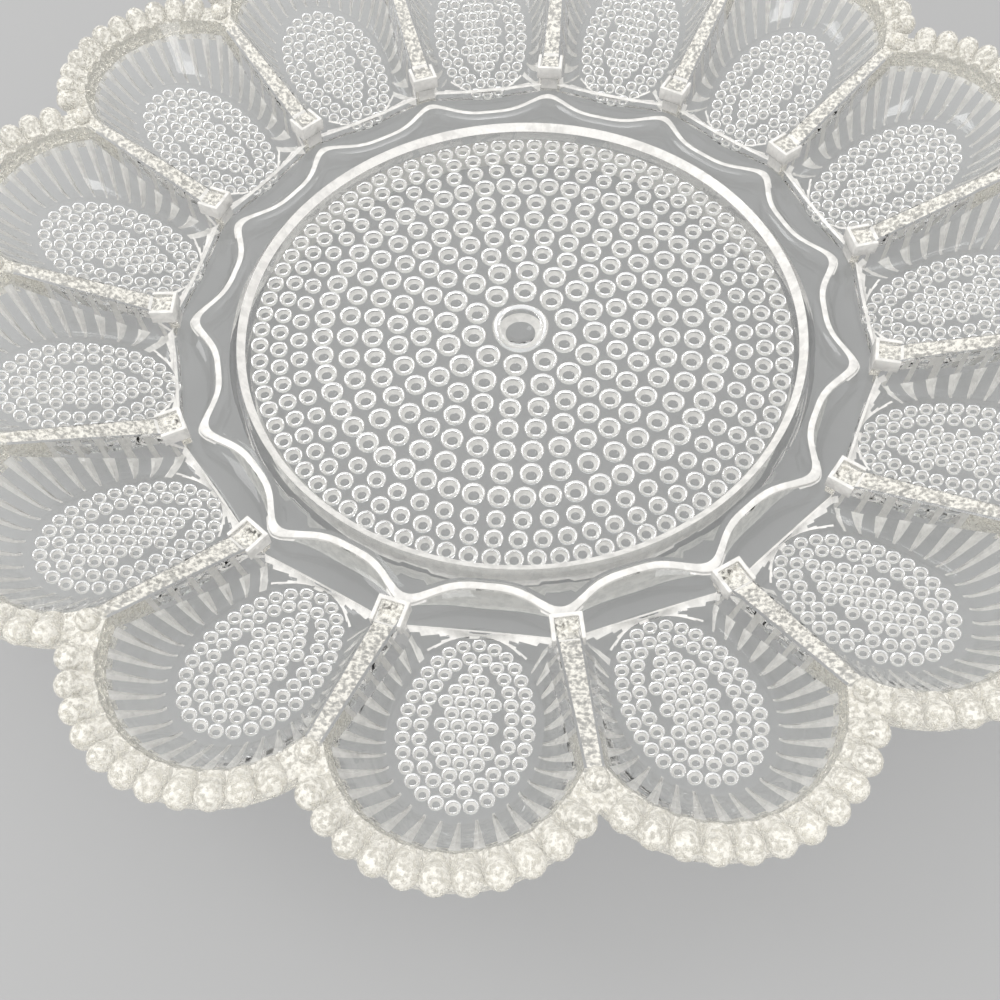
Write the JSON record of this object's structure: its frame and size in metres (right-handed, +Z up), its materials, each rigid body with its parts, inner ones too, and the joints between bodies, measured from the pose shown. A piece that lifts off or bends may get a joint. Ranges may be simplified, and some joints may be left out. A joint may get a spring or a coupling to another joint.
{
  "type": "deviled egg platter",
  "caption": "Round clear pressed-glass egg platter: petal-shaped wells with hobbed floors and fluted walls round a hobbed centre on a foot ring, with a beaded scalloped rim.",
  "frame": {"origin": "centre of the foot ring, on the table the platter stands on", "axes": "+Z up, out of the dish; the first well points along -Y and the others follow it anticlockwise seen from above, 24 degrees apart"},
  "size_m": [0.2786, 0.2776, 0.04],
  "materials": {
    "clear_glass": "clear pressed glass, fire-polished"
  },
  "bodies": {
    "root": {"centre_plate": "clear_glass", "foot_ring": "clear_glass", "collar": "clear_glass", "egg_well_01": "clear_glass", "egg_well_02": "clear_glass", "egg_well_03": "clear_glass", "egg_well_04": "clear_glass", "egg_well_05": "clear_glass", "egg_well_06": "clear_glass", "egg_well_07": "clear_glass", "egg_well_08": "clear_glass", "egg_well_09": "clear_glass", "egg_well_10": "clear_glass", "egg_well_11": "clear_glass", "egg_well_12": "clear_glass", "egg_well_13": "clear_glass", "egg_well_14": "clear_glass", "egg_well_15": "clear_glass", "divider_01": "clear_glass", "divider_02": "clear_glass", "divider_03": "clear_glass", "divider_04": "clear_glass", "divider_05": "clear_glass", "divider_06": "clear_glass", "divider_07": "clear_glass", "divider_08": "clear_glass", "divider_09": "clear_glass", "divider_10": "clear_glass", "divider_11": "clear_glass", "divider_12": "clear_glass", "divider_13": "clear_glass", "divider_14": "clear_glass", "divider_15": "clear_glass", "bead_rim_01": "clear_glass", "bead_rim_02": "clear_glass", "bead_rim_03": "clear_glass", "bead_rim_04": "clear_glass", "bead_rim_05": "clear_glass", "bead_rim_06": "clear_glass", "bead_rim_07": "clear_glass", "bead_rim_08": "clear_glass", "bead_rim_09": "clear_glass", "bead_rim_10": "clear_glass", "bead_rim_11": "clear_glass", "bead_rim_12": "clear_glass", "bead_rim_13": "clear_glass", "bead_rim_14": "clear_glass", "bead_rim_15": "clear_glass"}
  },
  "joints": []
}
